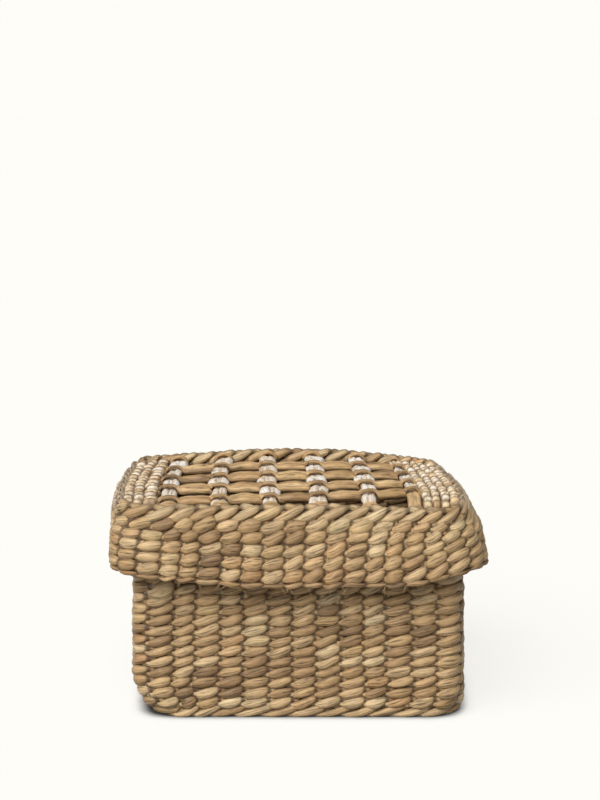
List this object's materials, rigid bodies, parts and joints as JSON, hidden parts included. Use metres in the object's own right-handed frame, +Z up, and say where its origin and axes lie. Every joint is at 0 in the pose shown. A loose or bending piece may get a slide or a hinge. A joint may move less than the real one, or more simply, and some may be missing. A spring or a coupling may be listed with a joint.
{
  "type": "woven lidded box",
  "caption": "Rectangular twined rush box with upright walls and a loose lift-off lid whose deep sides overhang the base and whose top is an open lattice of ribs and twisted strands.",
  "frame": {"origin": "centre of the underside, on the surface the box stands on", "axes": "+Z up, +X along the long side to the right seen from the front, -Y towards the front"},
  "size_m": [0.2678, 0.1978, 0.1581],
  "materials": {
    "rush_weave": "dry stalk, low sheen",
    "rush_border": "dry stalk, low sheen",
    "rush_strand": "dry stalk, low sheen",
    "rush_pale": "pale pith, satin",
    "rush_stake": "dry stalk, matte"
  },
  "bodies": {
    "base": {"base_floor": "rush_border", "base_bottom_border": "rush_border", "base_row_01": "rush_weave", "base_row_02": "rush_weave", "base_row_03": "rush_weave", "base_row_04": "rush_weave", "base_row_05": "rush_weave", "base_row_06": "rush_weave", "base_row_07": "rush_weave", "base_row_08": "rush_weave", "base_row_09": "rush_weave", "base_row_10": "rush_weave", "base_row_11": "rush_weave", "base_row_12": "rush_weave", "base_row_13": "rush_weave", "base_row_14": "rush_weave", "base_row_15": "rush_weave", "base_row_16": "rush_weave", "base_row_17": "rush_weave", "base_row_18": "rush_weave", "base_rim_border": "rush_border", "base_stakes": "rush_stake"},
    "lid": {"lid_hem": "rush_border", "lid_wall_row_1": "rush_weave", "lid_wall_row_2": "rush_weave", "lid_wall_row_3": "rush_weave", "lid_wall_row_4": "rush_weave", "lid_wall_row_5": "rush_weave", "lid_shoulder_border": "rush_border", "lid_stakes": "rush_stake", "lid_left_band_row_1": "rush_pale", "lid_left_band_row_2": "rush_pale", "lid_left_band_row_3": "rush_pale", "lid_right_band_row_1": "rush_pale", "lid_right_band_row_2": "rush_pale", "lid_right_band_row_3": "rush_pale", "lid_right_band_row_4": "rush_pale", "lid_rib_1": "rush_pale", "lid_rib_2": "rush_pale", "lid_rib_3": "rush_pale", "lid_rib_4": "rush_pale", "lid_rib_5": "rush_pale", "lid_rib_6": "rush_pale", "lid_cross_row_1a": "rush_strand", "lid_cross_row_1b": "rush_strand", "lid_cross_row_2a": "rush_strand", "lid_cross_row_2b": "rush_strand", "lid_cross_row_3a": "rush_strand", "lid_cross_row_3b": "rush_strand", "lid_cross_row_4a": "rush_strand", "lid_cross_row_4b": "rush_strand"}
  },
  "joints": [
    {"name": "lid_lift", "type": "slide", "parent": "base", "child": "lid", "axis": [0, 0, 1], "range_m": [0, 0.08]}
  ]
}
